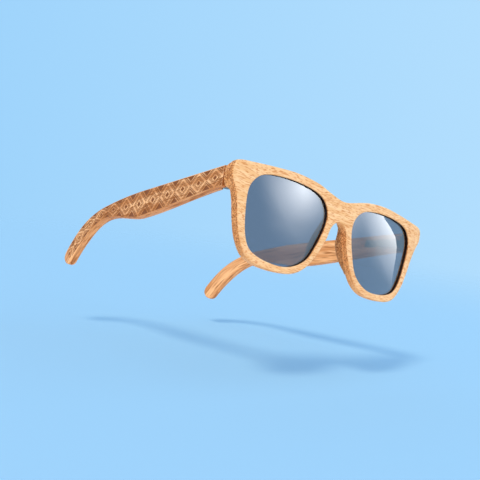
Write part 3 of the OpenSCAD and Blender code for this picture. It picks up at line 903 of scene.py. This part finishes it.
def temple_section(s, look):
    """Section of the right temple at a distance along its top edge: out, down and how burnt."""
    face_rows, back_rows, most = 36, 5, 0.45
    edge, soft, depth = look.edge / MM, look.tip_edge / MM, look.depth / MM
    past = max(s - TOP_L, 0)
    height = 2 * math.sqrt(TIP_R * TIP_R - past * past) if past else height_at(s)
    start = (height_at(s) - height) / 2
    # Both faces round off towards the end of the tip
    to_end = TIP_R + TOP_L - s
    inset = 0 if to_end > soft else soft - math.sqrt(max(soft ** 2 - (soft - to_end) ** 2, 0))
    face, back = TEMPLE_IN + TEMPLE_T - inset, TEMPLE_IN + inset
    r = edge + (soft - edge) * ease((s - BEND_AT - BEND_L / 2) / BEND_L * 2)
    r = min(r, height * most, (face - back) * most)
    loop = []
    for k in range(face_rows + 1):
        down = r + (height - 2 * r) * k / face_rows
        burn_and_shade = 0.0
        if s < TOP_L + ENGRAVE_PAST:
            burn_and_shade = engraved(s, down - height / 2, height / 2 - ENGRAVE_EDGE, look)
        loop.append((face - depth * burn_and_shade, down, burn_and_shade))
    loop += [(face - r + r * math.cos(a), height - r + r * math.sin(a), 0) for a in QUARTER[1:]]
    loop += [(back + r - r * math.sin(a), height - r + r * math.cos(a), 0) for a in QUARTER]
    loop += [(back, height - r + (2 * r - height) * k / back_rows, 0) for k in range(1, back_rows)]
    loop += [(back + r - r * math.cos(a), r - r * math.sin(a), 0) for a in QUARTER]
    loop += [(face - r + r * math.sin(a), r - r * math.cos(a), 0) for a in QUARTER[:-1]]
    return [(out, down + start, burn_and_shade) for out, down, burn_and_shade in loop]


def temple_stations():
    """Distances along a temple's top edge that have a section, closer together round the tip."""
    first, step = 1.2, 0.3
    along = [first + step * i for i in range(int((TOP_L - first) / step))]
    tip = [TOP_L + TIP_R * math.sin(math.radians(a)) for a in (*range(6, 85, 6), 88)]
    return [0.0] + along + [TOP_L] + tip


def temple_mesh(look):
    """Points, faces and burn of the right temple, in sections along its top edge."""
    stations = temple_stations()
    points, burns = [], []
    for s in stations:
        (top_back, top_up), slope = top_at(s), slope_at(s)
        for out, down, burn_and_shade in temple_section(s, look):
            back, up = top_back - down * math.sin(slope), top_up - down * math.cos(slope)
            # The butt end lies along the butt face of the front
            if s == 0:
                butt = (BUTT_GAP - PIVOT_BACK - out * math.sin(TOE_IN)) / math.cos(TOE_IN)
                up -= (butt - back) * math.tan(slope)
                back = butt
            points.append(in_temple(out, back, up))
            burns.append(burn_and_shade)
    return points, tube(len(stations), len(points) // len(stations)), burns


def temple_rooms(side):
    """Corners of the notch for the knuckles and of the pocket for the spring unit."""
    rooms = [((-TEMPLE_T, KNUCKLE_ROOM), (-2 * PIVOT_BACK, HOUSING_AT), (-PLATE_ROOM, NOTCH_TOP)),
             ((-TEMPLE_T, POCKET_R), (0, POCKET_END), (-POCKET_R, POCKET_R))]
    found = []
    for across, along, up in rooms:
        corners = [in_temple(o, b, z - HINGE_LOW) for o in across for b in along for z in up]
        found.append([(side * x, y, z) for x, y, z in corners])
    return found


class MakeTemples(bpy.types.Operator):
    """Make the two engraved temples"""
    bl_idname = "sunglasses.make_temples"
    bl_label = "Temples"

    def execute(self, context):
        look = context.scene.sunglasses_temple
        # Beech with strong colour, oiled: long brown streaks along the temple, and burnt brown
        # floors where the laser took the wood away
        wood = wood_material("beech_engraved_oiled", look, **TEMPLE_GRAIN)
        points, faces, burn_and_shade = temple_mesh(look)
        for side, sign, place in (("right", 1, points), ("left", -1, mirrored(points))):
            piece = new_mesh("temple_" + side, place, faces, wood, burn_and_shade)
            cut(piece, temple_rooms(sign))
            lay_grain(piece, lambda x, y, z: along_temple(sign * x, y, z))
            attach(piece, "temple_" + side)
            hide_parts("temple_arm_" + side)
        return {"FINISHED"}


def spring_mesh():
    """Points and faces of the right spring: one wire wound round the slider's shank."""
    around, sides = 24, 10
    steps = TURNS * around
    end = WIRE_R + SPRING_CLEAR
    points = []
    for i in range(steps + 1):
        turn = 2 * math.pi * i / around
        back = SPRING_AT + end + (SPRING_L - 2 * end) * i / steps
        for k in range(sides):
            side = 2 * math.pi * k / sides
            r = COIL_R + WIRE_R * math.cos(side)
            points.append(in_temple(r * math.cos(turn), back + WIRE_R * math.sin(side),
                                    r * math.sin(turn) - HINGE_LOW))
    return points, tube(steps + 1, sides)


class MakeHinges(bpy.types.Operator):
    """Make the springs and finish the steel of the two hinges"""
    bl_idname = "sunglasses.make_hinges"
    bl_label = "Spring hinges"

    def execute(self, context):
        look = context.scene.sunglasses_hinge
        # Gunmetal steel, satin blasted: dark, with a wide soft highlight
        satin = metal_material("steel_gunmetal_satin", look.satin, rough=0.42, grit=0.3)
        # Steel screws, turned and blackened: a tighter highlight
        turned = metal_material("steel_turned_dark", look.turned, rough=0.28, grit=0.15)
        # Spring steel, drawn wire: smooth and bright
        drawn = metal_material("steel_drawn_wire", look.drawn, rough=0.3, grit=0.2)
        finishes = {
            "hinge_plate": satin, "hinge_slider": satin, "spring_housing": satin,
            "plate_screws": turned, "housing_screws": turned, "pivot_screw": turned,
            "slider_nut": turned,
        }
        for kind, finish in finishes.items():
            for side in ("left", "right"):
                node = frame["nodes"][kind + "_" + side]
                node.data.materials.clear()
                node.data.materials.append(finish)
        # A spring shortens against its housing's front wall when its temple is pulled back; here each one
        # is a mesh of its own, on its temple
        points, faces = spring_mesh()
        for side, sign, place in (("right", 1, points), ("left", -1, mirrored(points))):
            piece = new_mesh("spring_" + side, place, faces, drawn)
            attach(piece, "temple_" + side)
            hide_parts("hinge_spring_" + side)
            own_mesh(piece)
        return {"FINISHED"}


def put_at(place, right, up, back):
    """Matrix that sets an object at a place, with its axes along three directions."""
    return Matrix.Translation(place) @ Matrix((right, up, back)).transposed().to_4x4()


def heading(turn, lift):
    """Direction that is turned from the front of the part and lifted from the horizon."""
    return Vector((math.sin(turn) * math.cos(lift), -math.cos(turn) * math.cos(lift), math.sin(lift)))


def flat_board(scene, name, outline, material):
    """Flat object from an outline in metres, on the stage."""
    mesh = bpy.data.meshes.new(name)
    mesh.from_pydata([(x, y, 0) for x, y in outline], [], [tuple(range(len(outline)))])
    mesh.materials.append(material)
    board = bpy.data.objects.new(name, mesh)
    scene.collection.objects.link(board)
    return board


def camera_axes():
    """Right, up and back of the camera."""
    back = heading(VIEW_TURN, VIEW_LIFT)
    right = Vector((math.cos(VIEW_TURN), math.sin(VIEW_TURN), 0))
    up = back.cross(right)
    return (right * math.cos(VIEW_ROLL) + up * math.sin(VIEW_ROLL),
            up * math.cos(VIEW_ROLL) - right * math.sin(VIEW_ROLL), back)


def make_camera(scene):
    """Camera at the photograph's angle."""
    right, up, back = camera_axes()
    data = bpy.data.cameras.new("camera")
    data.lens = VIEW_LENS
    data.sensor_width = SENSOR_W
    camera = bpy.data.objects.new("camera", data)
    camera.matrix_world = put_at(VIEW_AT + back * VIEW_FROM, right, up, back)
    scene.collection.objects.link(camera)
    scene.camera = camera


def make_backdrop(scene, look):
    """Light from all round, stronger from the front, and the backdrop that eye, gloss and glass see."""
    world = bpy.data.worlds.new("backdrop")
    world.use_nodes = True
    tree = world.node_tree
    tree.nodes.clear()
    way = add(tree, "ShaderNodeTexCoord").outputs["Generated"]
    # How far a direction is turned to the front, from 0 to 1, and from the left to the right of the view
    turns = []
    for aim, low, high in ((KEY_FROM, 0.0, 1.0), (tuple(camera_axes()[0]), -0.25, 0.25)):
        turn = add(tree, "ShaderNodeVectorMath", {0: way, 1: aim}, operation="DOT_PRODUCT")
        turns.append(add(tree, "ShaderNodeMapRange", {"Value": turn.outputs["Value"], "From Min": low,
                                                      "From Max": high}).outputs[0])
    to_front, to_right = turns
    strength = add(tree, "ShaderNodeMath", {0: to_front, 1: look.key, 2: look.fill},
                   operation="MULTIPLY_ADD")
    soft = add(tree, "ShaderNodeBackground", {"Color": linear(look.soft), "Strength": strength.outputs[0]})
    sky = add(tree, "ShaderNodeMix", {"Factor": to_right, "A": linear(look.sky_left),
                                      "B": linear(look.sky_right)}, data_type="RGBA")
    shown = add(tree, "ShaderNodeBackground", {"Color": sky.outputs["Result"], "Strength": 1.0})
    path = add(tree, "ShaderNodeLightPath")
    seen = path.outputs["Is Camera Ray"]
    for ray in ("Is Glossy Ray", "Is Transmission Ray"):
        seen = add(tree, "ShaderNodeMath", {0: seen, 1: path.outputs[ray]}, operation="MAXIMUM").outputs[0]
    both = add(tree, "ShaderNodeMixShader", {0: seen, 1: soft.outputs[0], 2: shown.outputs[0]})
    add(tree, "ShaderNodeOutputWorld", {"Surface": both.outputs[0]})
    scene.world = world


def board_material(look):
    """Painted board, matt: it fades into the backdrop towards its rim and keeps the shadow."""
    made, tree = new_material("board_painted_matt")
    place = add(tree, "ShaderNodeTexCoord")
    reach = add(tree, "ShaderNodeVectorMath", {0: place.outputs["Object"]}, operation="LENGTH")
    fade = add(tree, "ShaderNodeMapRange", {"Value": reach.outputs["Value"], "From Min": FLOOR_FADE[0],
                                            "From Max": FLOOR_FADE[1]}, interpolation_type="SMOOTHSTEP")
    # The board throws warm light back on the wood, and not its own blue
    path = add(tree, "ShaderNodeLightPath")
    colour = add(tree, "ShaderNodeMix", {"Factor": path.outputs["Is Diffuse Ray"],
                                         "A": linear(look.floor), "B": linear(look.bounce)},
                 data_type="RGBA")
    paint = add(tree, "ShaderNodeBsdfDiffuse", {"Color": colour.outputs["Result"]})
    clear = add(tree, "ShaderNodeBsdfTransparent")
    shader = add(tree, "ShaderNodeMixShader", {0: fade.outputs[0], 1: paint.outputs[0],
                                               2: clear.outputs[0]})
    add(tree, "ShaderNodeOutputMaterial", {"Surface": shader.outputs[0]})
    return made


def make_floor(scene, look):
    """Round floor, tilted below the part."""
    sides = 96
    turns = [2 * math.pi * k / sides for k in range(sides)]
    outline = [(FLOOR_R * math.cos(a), FLOOR_R * math.sin(a)) for a in turns]
    floor = flat_board(scene, "floor", outline, board_material(look))
    floor.rotation_mode = "QUATERNION"
    floor.rotation_quaternion = FLOOR_UP.to_track_quat("Z", "Y")
    floor.location = FLOOR_AT


def make_lamp(scene, look):
    """Warm lamp from the left, wide enough for a soft shadow."""
    data = bpy.data.lights.new("lamp", "SUN")
    data.energy = look.sun
    data.angle = LAMP_WIDTH
    data.color = linear(look.lamp)[:3]
    lamp = bpy.data.objects.new("lamp", data)
    lamp.rotation_mode = "QUATERNION"
    lamp.rotation_quaternion = LAMP_FROM.to_track_quat("Z", "Y")
    scene.collection.objects.link(lamp)


def panel_material(look):
    """Cloth lit from behind: bright in two hot places and clear where it is unlit."""
    made, tree = new_material("panel_lit")
    place = add(tree, "ShaderNodeTexCoord").outputs["Object"]
    glows = []
    for centre, radii in (HOT_RIGHT, HOT_LEFT):
        scale = [1 / radii[0], 1 / radii[1], 1]
        shift = [-c * k for c, k in zip(centre, scale)] + [0]
        local = add(tree, "ShaderNodeMapping", {"Vector": place, "Scale": scale, "Location": shift})
        glows.append(add(tree, "ShaderNodeTexGradient", {"Vector": local.outputs[0]},
                         gradient_type="QUADRATIC_SPHERE").outputs["Fac"])
    heat = add(tree, "ShaderNodeMath", {0: glows[0], 1: HOT_RATIO, 2: glows[1]}, operation="MULTIPLY_ADD")
    heat = add(tree, "ShaderNodeMath", {0: heat.outputs[0], 1: look.panel}, operation="MULTIPLY")
    lit = add(tree, "ShaderNodeEmission", {"Strength": heat.outputs[0]})
    clear = add(tree, "ShaderNodeBsdfTransparent")
    shader = add(tree, "ShaderNodeAddShader", {0: lit.outputs[0], 1: clear.outputs[0]})
    add(tree, "ShaderNodeOutputMaterial", {"Surface": shader.outputs[0]})
    return made


def make_panel(scene, look):
    """Lit panel that the lenses reflect: soft inside, cut off at its right."""
    per_knot = 8
    outline = [curve_at(PANEL_KNOTS, k / per_knot) for k in range(per_knot * len(PANEL_KNOTS))]
    panel = flat_board(scene, "panel", outline, panel_material(look))
    out = heading(PANEL_TURN, PANEL_LIFT)
    across = Vector((math.cos(PANEL_TURN), math.sin(PANEL_TURN), 0))
    panel.matrix_world = put_at(PANEL_AT + out * PANEL_FROM, across, out.cross(across), out)
    panel.visible_camera = panel.visible_transmission = False


class MakeStage(bpy.types.Operator):
    """Make the floor, the light and the camera"""
    bl_idname = "sunglasses.make_stage"
    bl_label = "Stage"

    def execute(self, context):
        scene = context.scene
        look = scene.sunglasses_stage
        scene.view_settings.view_transform = "Standard"
        make_camera(scene)
        make_backdrop(scene, look)
        make_floor(scene, look)
        make_lamp(scene, look)
        make_panel(scene, look)
        return {"FINISHED"}


OPERATORS = (MakeFront, MakeNosePads, MakeLenses, MakeTemples, MakeHinges, MakeStage)
SETTINGS = {"front": FrontSettings, "lens": LensSettings, "temple": TempleSettings,
            "hinge": HingeSettings, "stage": StageSettings}


class SunglassesPanel(bpy.types.Panel):
    """Lists the pieces of the sunglasses and their settings"""
    bl_idname = "VIEW3D_PT_sunglasses"
    bl_label = "Wooden sunglasses"
    bl_space_type = "VIEW_3D"
    bl_region_type = "UI"
    bl_category = "Sunglasses"

    def draw(self, context):
        for kind in OPERATORS:
            self.layout.operator(kind.bl_idname)
        for name, kind in SETTINGS.items():
            look = getattr(context.scene, "sunglasses_" + name)
            box = self.layout.box()
            for setting in kind.__annotations__:
                box.prop(look, setting)


def register():
    """Registers the settings, the operators and the panel."""
    for name, kind in SETTINGS.items():
        bpy.utils.register_class(kind)
        setattr(bpy.types.Scene, "sunglasses_" + name, bpy.props.PointerProperty(type=kind))
    for kind in (*OPERATORS, SunglassesPanel):
        bpy.utils.register_class(kind)


def unregister():
    """Takes back what register did."""
    for kind in reversed((*OPERATORS, SunglassesPanel)):
        bpy.utils.unregister_class(kind)
    for name, kind in SETTINGS.items():
        delattr(bpy.types.Scene, "sunglasses_" + name)
        bpy.utils.unregister_class(kind)


def main():
    """Makes every piece and the stage."""
    register()
    bpy.ops.sunglasses.make_front()
    bpy.ops.sunglasses.make_nose_pads()
    bpy.ops.sunglasses.make_lenses()
    bpy.ops.sunglasses.make_temples()
    bpy.ops.sunglasses.make_hinges()
    bpy.ops.sunglasses.make_stage()


if __name__ == "__main__":
    main()
